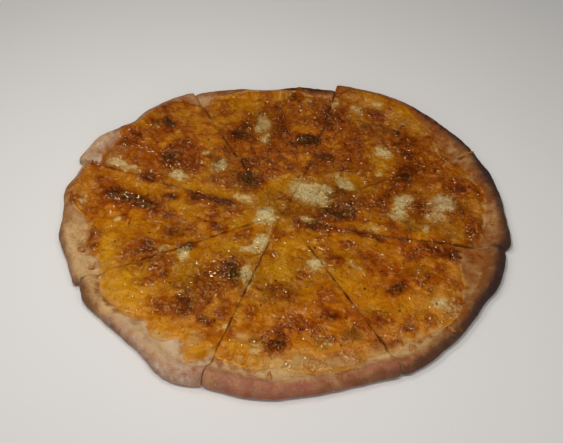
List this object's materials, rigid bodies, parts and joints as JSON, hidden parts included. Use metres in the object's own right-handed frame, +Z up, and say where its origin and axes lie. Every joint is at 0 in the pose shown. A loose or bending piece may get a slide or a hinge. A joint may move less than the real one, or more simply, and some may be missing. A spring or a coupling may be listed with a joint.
{
  "type": "cheese flatbread",
  "caption": "Round thin cheese flatbread, cut into wedge slices that still lie together, with a browned puffed rim.",
  "frame": {"origin": "middle of the bread's bounding box, on the surface it rests on", "axes": "+Z up from that surface, +X along the widest way across, -Y towards the side the picture was taken from"},
  "size_m": [0.3064, 0.2902, 0.0113],
  "materials": {
    "crust": "matte",
    "cheese": "glossy"
  },
  "bodies": {
    "root": {"crust_1": "crust", "crust_2": "crust", "crust_3": "crust", "crust_4": "crust", "crust_5": "crust", "crust_6": "crust", "crust_7": "crust", "crust_8": "crust", "cheese_1": "cheese", "cheese_2": "cheese", "cheese_3": "cheese", "cheese_4": "cheese", "cheese_5": "cheese", "cheese_6": "cheese", "cheese_7": "cheese", "cheese_8": "cheese"}
  },
  "joints": []
}
